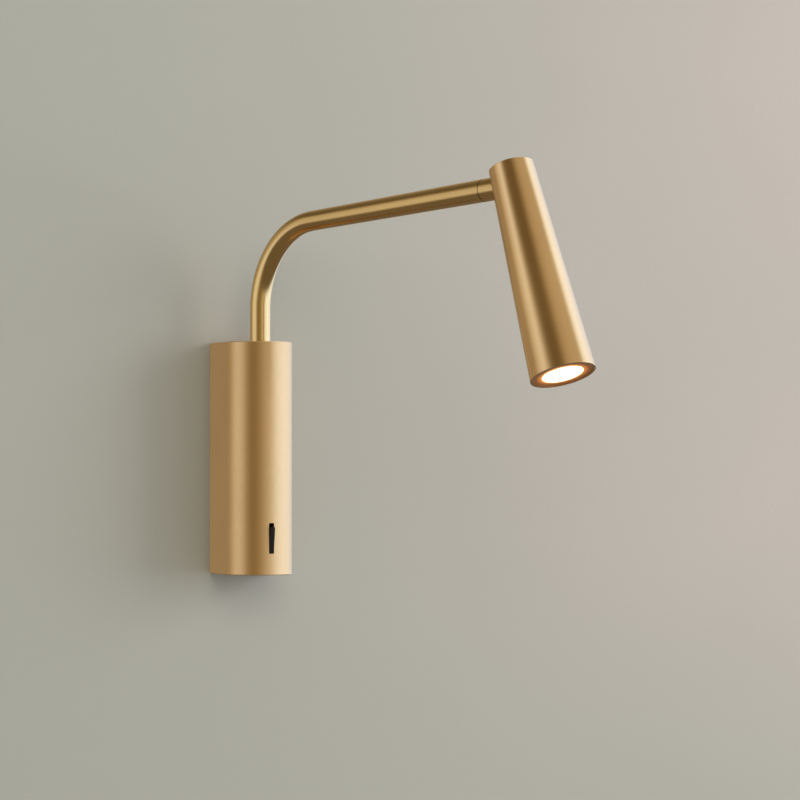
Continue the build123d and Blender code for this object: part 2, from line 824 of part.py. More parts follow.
# The knuckle's frame: Z along the arm, away from the riser. X is up, rolled with the head.
arm_up = arm_plane.x_dir * -sin(radians(arm_rise)) + Vector(0, 0, cos(radians(arm_rise)))
rolled_up = arm_up * cos(radians(head_roll)) - arm_plane.z_dir * sin(radians(head_roll))
knuckle_frame = Plane(origin=pivot, x_dir=rolled_up, z_dir=arm_direction)
seam_far = knuckle_reach + seam_width / 2
seam_near = knuckle_reach - seam_width / 2
bush_inner_end = seam_far + end_bush_length
bush_seat_radius = tube_bore + end_bush_wall_gap
spin_stack = spin_washer_thickness + spin_spring_height + spin_nut_height
spigot_end = bush_inner_end + spin_stack + spigot_tail


def before_pivot(distance):
    """Plane across the arm, this far back from the tilt axis."""
    return knuckle_frame.offset(-distance)


with BuildPart() as arm_tube:
    with BuildLine():
        Line(arm_point(0, thrust_washer_thickness), bend_start)
        ThreePointArc(bend_start, bend_middle, bend_end)
    with BuildSketch(at_riser(tube_foot)):
        Circle(tube_radius)
    sweep()
    with BuildSketch(Plane(origin=bend_end, x_dir=arm_up, z_dir=arm_direction)):
        Circle(tube_radius)
    with BuildSketch(before_pivot(seam_far)):
        Circle(arm_tip_radius)
    loft()
    with BuildLine():
        Line(arm_point(0, thrust_washer_thickness), bend_start)
        ThreePointArc(bend_start, bend_middle, bend_end)
        Line(bend_end, pivot - arm_direction * seam_far)
    with BuildSketch(at_riser(tube_foot)):
        Circle(tube_bore)
    sweep(mode=Mode.SUBTRACT)
    with BuildSketch(before_pivot(seam_far)):
        Circle(bush_seat_radius + THREAD_GAP)
    extrude(amount=-end_bush_length, mode=Mode.SUBTRACT)

with BuildPart() as arm_lead:
    lead_foot = arm_point(0, nipple_foot - housing_top)
    lead_end = pivot - arm_direction * (spigot_end + SLIDING_GAP)
    with BuildLine():
        Line(lead_foot, bend_start)
        ThreePointArc(bend_start, bend_middle, bend_end)
        Line(bend_end, lead_end)
    with BuildSketch(at_riser(nipple_foot)):
        Circle(lead_radius)
    sweep()

with BuildPart() as driver_lead:
    with BuildSketch(at_riser(nipple_foot - SLIDING_GAP)):
        Circle(lead_radius)
    extrude(amount=-(nipple_foot - driver_low - driver_height + 3 * driver_wall))

with BuildPart() as arm_end_bush:
    with BuildSketch(before_pivot(seam_far)):
        ring_section(bush_seat_radius, spigot_radius + RUNNING_GAP)
    extrude(amount=-end_bush_length)
    with BuildSketch(before_pivot(bush_inner_end)):
        with Locations((-(spin_tab_inner + spin_tab_outer) / 2, 0)):
            Rectangle(spin_tab_outer - spin_tab_inner, spin_tab_width)
    extrude(amount=-spin_washer_thickness)

with BuildPart() as seam_washer:
    with BuildSketch(before_pivot(seam_far)):
        ring_section(arm_tip_radius - seam_depth, spigot_radius + RUNNING_GAP)
    extrude(amount=seam_width)

# ================================================================ knuckle
spin_washer_near = bush_inner_end + THREAD_GAP

with BuildPart() as spin_friction_washer:
    with BuildSketch(before_pivot(spin_washer_near)):
        ring_section(spin_washer_radius, spigot_radius + THREAD_GAP)
        with Locations((spin_tab_outer / 2 + spigot_radius / 2, 0)):
            Rectangle(spin_tab_outer - spigot_radius - THREAD_GAP, spin_tab_width)
        key_inner = spigot_flat + THREAD_GAP
        key_outer = spigot_radius + 3 * THREAD_GAP
        with Locations((-(key_inner + key_outer) / 2, 0)):
            Rectangle(key_outer - key_inner, 2 * sqrt(key_outer**2 - key_inner**2))
    extrude(amount=-spin_washer_thickness)

spin_spring_base = spin_washer_near + spin_washer_thickness + spin_spring_height

with BuildPart() as spin_spring_washer:
    cone_spring(
        before_pivot(spin_spring_base),
        spin_washer_radius,
        spigot_radius + THREAD_GAP,
        spin_spring_height,
        spin_spring_sheet,
    )

with BuildPart() as spin_nut:
    with BuildSketch(before_pivot(spin_spring_base)):
        RegularPolygon(spin_nut_across / 2, 6, major_radius=False)
        Circle(spigot_radius + THREAD_GAP, mode=Mode.SUBTRACT)
    extrude(amount=-spin_nut_height)


def cone_radius(height):
    """Outside radius of the cone, this far above the tilt axis along the cone."""
    share = (cone_above - height) / (cone_above + cone_below)
    return cone_top_radius + (cone_mouth_radius - cone_top_radius) * share


def head_frame_at(lean):
    """Frame of the head: Z up the cone, X towards the arm, Y along the tilt axis."""
    up_cone = rolled_up * cos(radians(lean)) - arm_direction * sin(radians(lean))
    to_arm = arm_direction * -cos(radians(lean)) - rolled_up * sin(radians(lean))
    return Plane(origin=pivot, x_dir=to_arm, z_dir=up_cone)


def section_of(frame):
    """Plane through the frame's axis: its X is the radius and its Y is up the axis."""
    return Plane(origin=frame.origin, x_dir=frame.x_dir, z_dir=-frame.y_dir)


tongue_side = Plane(origin=pivot, x_dir=arm_direction, z_dir=knuckle_frame.y_dir)

with BuildPart() as knuckle:
    with BuildSketch(before_pivot(seam_near)):
        Circle(arm_tip_radius)
    extrude(amount=seam_near)
    at_rest = head_frame_at(head_lean)
    with BuildSketch(section_of(at_rest)):
        with BuildLine():
            Polyline(
                (0, -cone_below),
                (cone_radius(-cone_below) + saddle_gap, -cone_below),
                (cone_radius(cone_above) + saddle_gap, cone_above + saddle_gap),
                (0, cone_above + saddle_gap),
                close=True,
            )
        make_face()
    revolve(axis=Axis(pivot, at_rest.z_dir), mode=Mode.SUBTRACT)
    with BuildSketch(before_pivot(seam_near)):
        Circle(arm_tip_radius)
        with Locations((-arm_tip_radius, 0)):
            Rectangle(2 * arm_tip_radius, 2 * arm_tip_radius, mode=Mode.INTERSECT)
    extrude(amount=seam_near)
    with BuildSketch(tongue_side.offset(-arm_tip_radius)):
        Circle(knuckle_entry)
    extrude(amount=2 * arm_tip_radius, mode=Mode.SUBTRACT)
    with BuildSketch(tongue_side):
        with Locations((-seam_near / 2, 0)):
            Rectangle(seam_near, 2 * tongue_half_height)
        Circle(tongue_half_height)
    extrude(amount=tongue_width / 2, both=True)
    with BuildSketch(before_pivot(spigot_end)):
        Circle(spigot_radius)
    extrude(amount=spigot_end - seam_near)
    with BuildSketch(before_pivot(spigot_end)):
        with Locations((-spigot_flat - spigot_radius / 2, 0)):
            Rectangle(spigot_radius, 2 * spigot_radius)
    extrude(amount=spigot_end - bush_inner_end, mode=Mode.SUBTRACT)
    with BuildSketch(before_pivot(spigot_end)):
        Circle(lead_bore)
    extrude(amount=spigot_end - tongue_window_near, mode=Mode.SUBTRACT)
    with BuildSketch(knuckle_frame.offset(-tongue_window_far)):
        with Locations((-tongue_half_height, 0)):
            Rectangle(2 * tongue_half_height, 2 * lead_bore)
    extrude(amount=tongue_window_far - tongue_window_near, mode=Mode.SUBTRACT)
    with BuildSketch(tongue_side.offset(-tongue_width)):
        Circle(pin_radius + RUNNING_GAP)
    extrude(amount=2 * tongue_width, mode=Mode.SUBTRACT)

with BuildPart() as knuckle_lead:
    with BuildSketch(before_pivot(spigot_end)):
        Circle(lead_radius)
    extrude(amount=spigot_end - tongue_window_near - RUNNING_GAP)

# ================================================================ head
head_frame = head_frame_at(head_lean)
head_section = section_of(head_frame)
head_axis = Axis(pivot, head_frame.z_dir)
tilt_plane = Plane(origin=pivot, x_dir=head_frame.x_dir, z_dir=head_frame.y_dir)
slot_plane = Plane(origin=pivot, x_dir=head_frame.y_dir, z_dir=head_frame.x_dir)
slot_half_width = tongue_width / 2 + slot_side_gap


def tongue_edge(lean):
    """Height at which the tongue's edge crosses the cone's surface, for this lean."""
    return cone_top_radius * tan(radians(lean)) + tongue_half_height / cos(radians(lean))


slot_top = tongue_edge(head_lean) + slot_end_gap
entry_half_width = arm_tip_radius + SLIDING_GAP
entry_top = cone_mouth_radius * tan(radians(head_lean))


def entry_foot(out):
    """Lowest height that the knuckle needs at full tilt, this far from the head's axis."""
    return -out * tan(radians(tilt_in)) - (arm_tip_radius + slot_end_gap) / cos(radians(tilt_in))


entry_bottom = entry_foot(cone_radius(-block_web_top))


def cone_bore(height):
    return cone_radius(height) - cone_wall


def above_mouth(height):
    """Plane across the head, this far inside the mouth."""
    return head_frame.offset(height - cone_below)


with BuildPart() as cone_shell:
    with BuildSketch(head_section):
        with BuildLine():
            Polyline(
                (cone_radius(cone_above), cone_above),
                (cone_radius(-cone_below), -cone_below),
                (mouth_bore, -cone_below),
                (mouth_bore, mouth_land - cone_below),
                (cone_bore(mouth_land - cone_below), mouth_land - cone_below),
                (cone_bore(cone_above), cone_above),
                close=True,
            )
        make_face()
    revolve(axis=head_axis)
    rims = cone_shell.edges().filter_by(GeomType.CIRCLE)
    outer_top = rims.sort_by(head_axis)[-2:].sort_by(SortBy.RADIUS)[-1]
    fillet(outer_top, edge_break)
    with BuildSketch(slot_plane):
        with Locations((0, (slot_top + entry_bottom) / 2)):
            RectangleRounded(2 * slot_half_width, slot_top - entry_bottom, slot_round)
        with Locations((0, (entry_top + entry_bottom) / 2)):
            RectangleRounded(2 * entry_half_width, entry_top - entry_bottom, slot_round)
    extrude(amount=2 * cone_mouth_radius, mode=Mode.SUBTRACT)

block_screw_out = (slot_half_width + cone_bore(0)) / 2

with BuildPart() as top_cap:
    with BuildSketch(head_frame.offset(cone_above - cap_thickness)):
        Circle(cone_bore(cone_above) - THREAD_GAP)
    extrude(amount=cap_thickness)
    for side in (-1, 1):
        with Locations(
            Plane(
                origin=head_frame.from_local_coords(Vector(0, side * block_screw_out, cone_above)),
                z_dir=head_frame.z_dir,
            )
        ):
            CounterSinkHole(cap_screw_radius + THREAD_GAP, cap_screw_head_radius + THREAD_GAP)

with BuildPart() as cap_screws:
    for side in (-1, 1):
        screw_middle = head_frame.from_local_coords(Vector(0, side * block_screw_out, cone_above))
        with BuildSketch(Plane(screw_middle, x_dir=head_frame.x_dir, z_dir=-head_frame.y_dir)):
            with BuildLine():
                Polyline(
                    (0, 0),
                    (cap_screw_head_radius, 0),
                    (cap_screw_radius, cap_screw_radius - cap_screw_head_radius),
                    (cap_screw_radius, -cap_screw_length),
                    (0, -cap_screw_length),
                    close=True,
                )
            make_face()
        revolve(axis=Axis(screw_middle, head_frame.z_dir))
        with BuildSketch(Plane(screw_middle, x_dir=head_frame.x_dir, z_dir=head_frame.z_dir)):
            RegularPolygon(cap_socket_across / 2, 6, major_radius=False)
        extrude(amount=-cap_socket_depth, mode=Mode.SUBTRACT)

block_bottom = -block_web_top - block_web

with BuildPart() as pivot_block:
    with BuildSketch(head_section):
        with BuildLine():
            Polyline(
                (0, block_bottom),
                (cone_bore(block_bottom) - THREAD_GAP, block_bottom),
                (cone_bore(block_top) - THREAD_GAP, block_top),
                (0, block_top),
                close=True,
            )
        make_face()
    revolve(axis=head_axis)
    with BuildSketch(slot_plane.offset(-tongue_half_height - saddle_gap)):
        with Locations((0, (block_top - block_web_top) / 2)):
            Rectangle(2 * slot_half_width, block_top + block_web_top)
    extrude(amount=2 * cone_mouth_radius, mode=Mode.SUBTRACT)
    with BuildSketch(head_section.offset(-entry_half_width)):
        with BuildLine():
            Polyline(
                (0, entry_top),
                (cone_mouth_radius, entry_top),
                (cone_mouth_radius, entry_foot(cone_mouth_radius)),
                (0, entry_foot(0)),
                close=True,
            )
        make_face()
        Circle(knuckle_entry - slot_end_gap, mode=Mode.SUBTRACT)
    extrude(amount=2 * entry_half_width, mode=Mode.SUBTRACT)
    with BuildSketch(head_frame.offset(block_bottom)):
        Circle(lead_radius + SLIDING_GAP)
    extrude(amount=block_web, mode=Mode.SUBTRACT)
    with BuildSketch(tilt_plane.offset(-cone_top_radius)):
        Circle(pin_radius + THREAD_GAP)
    extrude(amount=2 * cone_top_radius, mode=Mode.SUBTRACT)
    with BuildSketch(head_frame.offset(block_top)):
        with Locations((0, block_screw_out), (0, -block_screw_out)):
            Circle(cap_screw_radius + THREAD_GAP)
    extrude(amount=-(cap_screw_length + block_top - cone_above + COVER_GAP), mode=Mode.SUBTRACT)

with BuildPart() as pivot_pin:
    pin_half = sqrt(cone_bore(pin_radius) ** 2 - pin_radius**2) - SLIDING_GAP
    with BuildSketch(tilt_plane.offset(-pin_half)):
        Circle(pin_radius)
    extrude(amount=2 * pin_half)

with BuildPart() as tilt_washers:
    for side in (tongue_width / 2, -slot_half_width):
        with BuildSketch(tilt_plane.offset(side)):
            ring_section(tilt_washer_radius, pin_radius + THREAD_GAP)
        extrude(amount=tilt_washer_thickness)

# ---------------------------------------------------------------- mouth and light
lens_bottom = bezel_recess + bezel_dish + bezel_lip
gasket_bottom = lens_bottom + lens_thickness
reflector_bottom = gasket_bottom + gasket_thickness
board_bottom = reflector_bottom + reflector_length
sink_bottom = board_bottom + board_thickness
bezel_radius = mouth_bore - THREAD_GAP * 2
reflector_rim = lens_radius - gasket_width / 2

with BuildPart() as front_bezel:
    with BuildSketch(head_section):
        with BuildLine():
            Polyline(
                (bezel_radius, bezel_recess + edge_break - cone_below),
                (bezel_radius - edge_break, bezel_recess - cone_below),
                (aperture_radius, bezel_recess + bezel_dish - cone_below),
                (aperture_radius, lens_bottom - cone_below),
                (lens_radius + 2 * THREAD_GAP, lens_bottom - cone_below),
                (lens_radius + 2 * THREAD_GAP, bezel_recess + bezel_height - cone_below),
                (bezel_radius, bezel_recess + bezel_height - cone_below),
                close=True,
            )
        make_face()
    revolve(axis=head_axis)

with BuildPart() as lens:
    with BuildSketch(above_mouth(lens_bottom)):
        Circle(lens_radius)
    extrude(amount=lens_thickness)
    with BuildSketch(above_mouth(lens_recess)):
        Circle(aperture_radius - THREAD_GAP)
    extrude(amount=lens_bottom - lens_recess)
    chamfer(lens.faces().sort_by(head_axis)[0].edges(), lens_edge)

with BuildPart() as lens_gasket:
    with BuildSketch(above_mouth(gasket_bottom)):
        ring_section(lens_radius, lens_radius - gasket_width)
    extrude(amount=gasket_thickness)

with BuildPart() as reflector:
    with BuildSketch(head_section):
        with BuildLine():
            Polyline(
                (reflector_rim, reflector_bottom - cone_below),
                (reflector_rim - reflector_wall, reflector_bottom - cone_below),
                (reflector_throat, board_bottom - cone_below),
                (reflector_throat + reflector_wall, board_bottom - cone_below),
                close=True,
            )
        make_face()
    revolve(axis=head_axis)

with BuildPart() as led_board:
    with BuildSketch(above_mouth(board_bottom)):
        Circle(board_radius)
        with Locations((0, board_screw_out), (0, -board_screw_out)):
            Circle(board_screw_radius + THREAD_GAP, mode=Mode.SUBTRACT)
        with Locations((board_screw_out, 0)):
            Circle(board_wire_hole, mode=Mode.SUBTRACT)
    extrude(amount=board_thickness)

with BuildPart() as led_emitter:
    with BuildSketch(above_mouth(board_bottom)):
        Circle(emitter_radius)
    extrude(amount=-emitter_thickness)

with BuildPart() as board_screws:
    for side in (-1, 1):
        screw_foot = head_frame.from_local_coords(
            Vector(0, side * board_screw_out, board_bottom - cone_below)
        )
        pan_screw(
            Plane(origin=screw_foot, x_dir=head_frame.x_dir, z_dir=-head_frame.z_dir),
            board_screw_radius,
            board_screw_length,
            board_screw_head_radius,
            board_screw_head_height,
            board_screw_radius,
        )

with BuildPart() as heat_sink:
    sink_top = sink_bottom + sink_length
    with BuildSketch(head_section):
        with BuildLine():
            Polyline(
                (0, sink_bottom - cone_below),
                (cone_bore(sink_bottom - cone_below) - THREAD_GAP, sink_bottom - cone_below),
                (cone_bore(sink_top - cone_below) - THREAD_GAP, sink_top - cone_below),
                (0, sink_top - cone_below),
                close=True,
            )
        make_face()
    revolve(axis=head_axis)
    with BuildSketch(above_mouth(sink_bottom + sink_foot)):
        ring_section(cone_mouth_radius, sink_core_radius)
        with PolarLocations(0, fin_count):
            with Locations((cone_mouth_radius / 2, 0)):
                Rectangle(cone_mouth_radius, fin_thickness, mode=Mode.SUBTRACT)
    extrude(amount=sink_length, mode=Mode.SUBTRACT)
    with BuildSketch(above_mouth(sink_bottom)):
        Circle(lead_radius + SLIDING_GAP)
    extrude(amount=sink_length, mode=Mode.SUBTRACT)
    with BuildSketch(above_mouth(sink_bottom)):
        with Locations((0, board_screw_out), (0, -board_screw_out)):
            Circle(board_screw_radius + THREAD_GAP)
    extrude(amount=board_screw_length, mode=Mode.SUBTRACT)

with BuildPart() as head_lead:
    with BuildSketch(above_mouth(sink_bottom + SLIDING_GAP)):
        Circle(lead_radius)
    extrude(amount=cone_below - block_web_top - sink_bottom - 2 * SLIDING_GAP)

# ---------------------------------------------------------------- cores from block to switch
core_out = terminal_out + wire_hole_depth
core_end_out = switch_back - blade_length - COVER_GAP


def route_radii(points):
    """Largest even bend at each inner point of a route."""
    runs = [end - start for start, end in zip(points, points[1:])]
    return [
        0.45 * min(before.length, after.length) / tan(radians(before.get_angle(after) / 2))
        for before, after in zip(runs, runs[1:])
    ]


with BuildPart() as switch_cores:
    for side in (-1, 1):
        core_points = [
            Vector(side * terminal_pitch, -core_out, terminal_low + core_in_terminal),
            Vector(side * terminal_pitch, -core_out + core_lean, terminal_low - core_drop),
            Vector(side * core_pass, -core_out - core_pass_out, switch_z + core_pass_up),
            Vector(side * core_turn, -core_out - core_turn, switch_z + core_turn_up),
            Vector(side * blade_across, -core_end_out, switch_z),
        ]
        core_radii = route_radii(core_points)
        print("core bend radii", [round(radius, 1) for radius in core_radii])
        with BuildLine():
            FilletPolyline(*core_points, radius=core_radii)
        with BuildSketch(Plane(origin=core_points[0], z_dir=core_points[1] - core_points[0])):
            Circle(core_radius)
        sweep()

# ================================================================ files
pieces = {
    "housing_shell": housing_shell,
    "housing_top_plate": housing_top_plate,
    "housing_bottom_plate": housing_bottom_plate,
    "locating_pin": locating_pin,
    "wall_bracket": wall_bracket,
    "fixing_screw": fixing_screw,
    "cable_grommet": cable_grommet,
    "earth_washer": earth_washer,
    "earth_screw": earth_screw,
    "component_carrier": component_carrier,
    "carrier_screws": carrier_screws,
    "driver_case": driver_case,
    "driver_cover": driver_cover,
    "driver_board": driver_board,
    "driver_transformer": driver_transformer,
    "driver_capacitor": driver_capacitor,
    "driver_chokes": driver_chokes,
    "driver_screws": driver_screws,
    "driver_lead": driver_lead,
    "terminal_block": terminal_block,
    "terminal_screws": terminal_screws,
    "switch_cores": switch_cores,
    "switch_body": switch_body,
    "switch_terminals": switch_terminals,
    "switch_holder": switch_holder,
    "holder_screws": holder_screws,
    "switch_pivot_pin": switch_pivot_pin,
    "switch_rocker": switch_rocker,
    "swivel_bush": swivel_bush,
    "stop_pin": stop_pin,
    "thrust_washer": thrust_washer,
    "swivel_nipple": swivel_nipple,
    "stop_collar": stop_collar,
    "friction_washer": friction_washer,
    "spring_washer": spring_washer,
    "lock_nuts": lock_nuts,
    "arm_tube": arm_tube,
    "arm_lead": arm_lead,
    "arm_end_bush": arm_end_bush,
    "seam_washer": seam_washer,
    "knuckle": knuckle,
    "knuckle_lead": knuckle_lead,
    "spin_friction_washer": spin_friction_washer,
    "spin_spring_washer": spin_spring_washer,
    "spin_nut": spin_nut,
    "cone_shell": cone_shell,
    "top_cap": top_cap,
    "cap_screws": cap_screws,
    "pivot_block": pivot_block,
    "pivot_pin": pivot_pin,
    "tilt_washers": tilt_washers,
    "front_bezel": front_bezel,
    "lens": lens,
    "lens_gasket": lens_gasket,
    "reflector": reflector,
    "led_board": led_board,
    "led_emitter": led_emitter,
    "board_screws": board_screws,
    "heat_sink": heat_sink,
    "head_lead": head_lead,
}
os.makedirs("parts", exist_ok=True)
for name, piece in pieces.items():
    piece.part.label = name
    export_step(piece.part, f"parts/{name}.step")

print("tilt axis at", [round(v, 4) for v in pivot], "along", [round(v, 6) for v in head_frame.y_dir])
print("arm axis", [round(v, 6) for v in arm_direction])
print("cone axis", [round(v, 6) for v in head_frame.z_dir])
print("arm swings from", -swing_each_way - arm_swing, "to", swing_each_way - arm_swing)
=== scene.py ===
import json
import math

import bmesh
import bpy
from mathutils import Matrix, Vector


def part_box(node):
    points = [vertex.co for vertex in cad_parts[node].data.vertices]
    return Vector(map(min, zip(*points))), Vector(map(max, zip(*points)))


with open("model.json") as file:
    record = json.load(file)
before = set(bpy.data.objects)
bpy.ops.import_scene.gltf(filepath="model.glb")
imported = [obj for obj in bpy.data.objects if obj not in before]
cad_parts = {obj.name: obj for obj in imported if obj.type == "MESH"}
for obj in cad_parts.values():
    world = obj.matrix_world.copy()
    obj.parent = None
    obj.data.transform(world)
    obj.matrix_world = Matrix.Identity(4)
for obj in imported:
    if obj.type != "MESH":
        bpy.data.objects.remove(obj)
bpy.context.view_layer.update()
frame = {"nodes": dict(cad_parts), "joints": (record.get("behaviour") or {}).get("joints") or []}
nodes = frame["nodes"]
joints = {joint["name"]: joint for joint in frame["joints"]}

# The head's tilt pivot, and its axis from the mouth up to the cap.
pivot = Vector(joints["head_tilt"]["pos_m"])
cap_low, cap_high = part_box("top_cap")
lens_low, lens_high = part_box("lens")
cap_middle = (cap_low + cap_high) / 2
lens_middle = (lens_low + lens_high) / 2
head_axis = (cap_middle - lens_middle).normalized()
body_low, body_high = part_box("housing_shell")

# Colours and a brightness, as linear values
BRASS = (0.80, 0.49, 0.205)
TUBE_BRASS = (0.80, 0.52, 0.20)
TURNED_BRASS = (0.78, 0.55, 0.24)
WALL_COLOUR = (0.434, 0.424, 0.360)
# The wall's colour where painted light brightens its upper right
WALL_PAINTED_LIGHT_RIGHT = (0.535, 0.468, 0.425)
FLOOR_COLOUR = (0.60, 0.59, 0.56)
ROOM_OVERHEAD = (0.55, 0.54, 0.52)
ROOM_BELOW = (0.17, 0.145, 0.11)
ROOM_SEEN = (0.80, 0.79, 0.77)
DIM_LEVEL = 0.2
LAMP_WHITE = (1.0, 0.97, 0.94)
LAMP_WARM_WHITE = (1.0, 0.97, 0.93)

# Strengths of what is lit, and of the glow painted on the bezel
LENS_GLOW = 1.7
CHIP_GLOW = 6.0
BEZEL_PAINTED_GLOW = 0.75

# Radii round the head's axis, in metres; the bezel's two bound its painted glow
LENS_CLEAR = 0.0100
LENS_RIM = 0.0116
BEZEL_PAINTED_GLOW_INNER = 0.0112
BEZEL_PAINTED_GLOW_OUTER = 0.0152

# Heights of surface relief, in metres
FAINT = 0.00001
FINE = 0.00002
SLIGHT = 0.00003
PHOSPHOR = 0.00004
CLEAR = 0.00005
LAPS = 0.00008

# The stage, in metres
WALL_DEPTH = 0.0005
WALL_REACH = 3.0
FLOOR_LEVEL = -0.9
FLOOR_FRONT = -4.0
HOLE_EDGE = 0.002

# The camera
CAMERA_PLACE = (-0.781179, -1.812690, -0.004827)
CAMERA_RISE = 1.157     # degrees above level
CAMERA_TURN = -26.09    # degrees from straight at the wall
CAMERA_LENS = 147.81    # mm
CAMERA_SENSOR = 36.0    # mm wide
CAMERA_NEAR = 0.05      # metres
CAMERA_FAR = 50.0       # metres


# Node trees


class Tree:
    """A new material's node tree, with short ways to add and join nodes."""

    def __init__(self, name, tree=None):
        if tree is None:
            self.material = bpy.data.materials.new(name)
            self.material.use_nodes = True
            tree = self.material.node_tree
        self.nodes = tree.nodes
        self.links = tree.links
        self.shader = next((n for n in self.nodes if n.type == "BSDF_PRINCIPLED"), None)
        self.output = next(n for n in self.nodes if n.type.startswith("OUTPUT"))
        self.place = None

    def add(self, kind, inputs=None, **settings):
        node = self.nodes.new("ShaderNode" + kind)
        for key, value in settings.items():
            setattr(node, key, value)
        for key, value in (inputs or {}).items():
            self.put(value, node.inputs[key])
        return node

    def put(self, value, socket):
        """Join a socket to the input, or write a constant into it."""
        if isinstance(value, bpy.types.NodeSocket):
            self.links.new(value, socket)
        else:
            socket.default_value = value

    def set(self, **values):
        """Set the surface's inputs, written with _ for a space."""
        for key, value in values.items():
            self.put(value, self.shader.inputs[key.replace("_", " ")])

    def where(self):
        """Each point's place in the shared frame, in metres."""
        if self.place is None:
            self.place = self.add("TexCoord").outputs["Object"]
        return self.place

    def math(self, operation, first, second=0.0):
        node = self.add("Math", operation=operation)
        self.put(first, node.inputs[0])
        self.put(second, node.inputs[1])
        return node.outputs[0]

    def vector(self, operation, first, second=(0, 0, 0)):
        node = self.add("VectorMath", operation=operation)
        self.put(first, node.inputs[0])
        self.put(second, node.inputs[1])
        return node.outputs["Value" if operation in ("DOT_PRODUCT", "LENGTH") else "Vector"]

    def remap(self, value, low, high, to_low=0.0, to_high=1.0, smooth=True):
        node = self.add("MapRange", interpolation_type="SMOOTHSTEP" if smooth else "LINEAR")
        for key, item in (("Value", value), ("From Min", low), ("From Max", high)):
            self.put(item, node.inputs[key])
        node.inputs["To Min"].default_value = to_low
        node.inputs["To Max"].default_value = to_high
        return node.outputs["Result"]

    def blend(self, amount, first, second):
        """A colour between first and second."""
        node = self.add("Mix", data_type="RGBA")
        self.put(amount, node.inputs[0])
        for socket, colour in ((node.inputs[6], first), (node.inputs[7], second)):
            is_socket = isinstance(colour, bpy.types.NodeSocket)
            self.put(colour if is_socket else (*colour, 1.0), socket)
        return node.outputs[2]

    def noise(self, per_metre, detail=2.0, stretch=(1, 1, 1), roughness=0.5):
        spot = self.vector("MULTIPLY", self.where(), stretch)
        node = self.add(
            "TexNoise",
            {"Vector": spot, "Scale": per_metre, "Detail": detail, "Roughness": roughness},
        )
        return node.outputs["Fac"]

    def clouds(self, per_metre, detail=3.0):
        """Soft patches from 0 to 1."""
        return self.remap(self.noise(per_metre, detail), 0.3, 0.7)

    def bump(self, height, distance, strength=1.0, below=None):
        node = self.add("Bump", {"Height": height, "Distance": distance, "Strength": strength})
        if below is not None:
            self.put(below, node.inputs["Normal"])
        return node.outputs["Normal"]

    def off_axis(self, point, axis):
        """Distance from a line, and distance along it."""
        away = self.vector("SUBTRACT", self.where(), point)
        along = self.vector("DOT_PRODUCT", away, axis)
        on_line = self.add("VectorMath", operation="SCALE")
        on_line.inputs[0].default_value = axis
        self.put(along, on_line.inputs["Scale"])
        across = self.vector("SUBTRACT", away, on_line.outputs[0])
        return self.vector("LENGTH", across), along


def scaled(colour, factor):
    """The colour made lighter or darker, with no part above 1."""
    return tuple(min(1.0, part * factor) for part in colour)


def brass(name, colour, roughness, stretch, grain, lift=1.0):
    """Satin brass: slow drifts of tone, fine brushing, and a lacquer's faint unevenness."""
    tree = Tree(name)
    drift = tree.clouds(22.0)
    brushing = tree.noise(grain, 3.0, stretch, 0.6)
    fine = tree.noise(grain * 2.3, 2.0)
    tone = tree.blend(drift, scaled(colour, 0.965), scaled(colour, 1.03))
    streaks = tree.remap(brushing, 0.3, 0.7, 0.0, 0.10 * lift)
    tone = tree.blend(streaks, tone, scaled(colour, 0.72))
    specks = tree.remap(fine, 0.62, 0.8, 0.0, 0.10)
    tone = tree.blend(specks, tone, (0.92, 0.70, 0.38))
    tree.set(Base_Color=tone, Metallic=1.0, Coat_Weight=0.7, Coat_Roughness=0.14)
    worn = tree.math("ADD", tree.remap(brushing, 0.25, 0.75, -0.035, 0.035), roughness)
    worn = tree.math("ADD", worn, tree.remap(drift, 0.0, 1.0, -0.012, 0.012))
    tree.set(Roughness=worn)
    tree.set(Normal=tree.bump(brushing, FINE, 0.35, tree.bump(fine, FAINT, 0.2)))
    return tree.material


def metal(name, colour, roughness, grain=1800.0, stretch=(1, 1, 1), rings=None, spread=0.08):
    """Plain metal; rings is (point, axis, pitch in metres) for a turned face."""
    tree = Tree(name)
    cloud = tree.clouds(90.0)
    fine = tree.noise(grain, 3.0, stretch, 0.6)
    tone = tree.blend(cloud, scaled(colour, 1 - spread), scaled(colour, 1 + spread))
    tone = tree.blend(tree.remap(fine, 0.35, 0.75, 0.0, 0.25), tone, scaled(colour, 0.7))
    height = fine
    if rings:
        point, axis, pitch = rings
        radius, along = tree.off_axis(point, axis)
        turns = tree.math("MULTIPLY", tree.math("ADD", radius, along), 2 * math.pi / pitch)
        height = tree.math("ADD", fine, tree.math("SINE", turns))
    worn = tree.math("ADD", tree.remap(fine, 0.25, 0.75, -0.06, 0.06), roughness)
    tree.set(Base_Color=tone, Metallic=1.0, Roughness=worn)
    tree.set(Normal=tree.bump(height, FINE, 0.4))
    return tree.material


def moulded(name, colour, roughness, grain=2600.0, depth=SLIGHT, spread=0.06, soft=0.0, sheen=0.5):
    """Moulded plastic or rubber with a fine eroded grain."""
    tree = Tree(name)
    cloud = tree.clouds(60.0)
    fine = tree.noise(grain, 3.0, (1, 1, 1), 0.65)
    tone = tree.blend(cloud, scaled(colour, 1 - spread), scaled(colour, 1 + spread))
    tone = tree.blend(tree.remap(fine, 0.5, 0.8, 0.0, 0.35), tone, scaled(colour, 1.35))
    worn = tree.math("ADD", tree.remap(fine, 0.25, 0.75, -0.07, 0.07), roughness)
    tree.set(Base_Color=tone, Metallic=0.0, Roughness=worn, Specular_IOR_Level=sheen)
    tree.set(Normal=tree.bump(fine, depth, 0.5))
    if soft:
        tree.set(Subsurface_Weight=soft, Subsurface_Scale=0.001)
    return tree.material


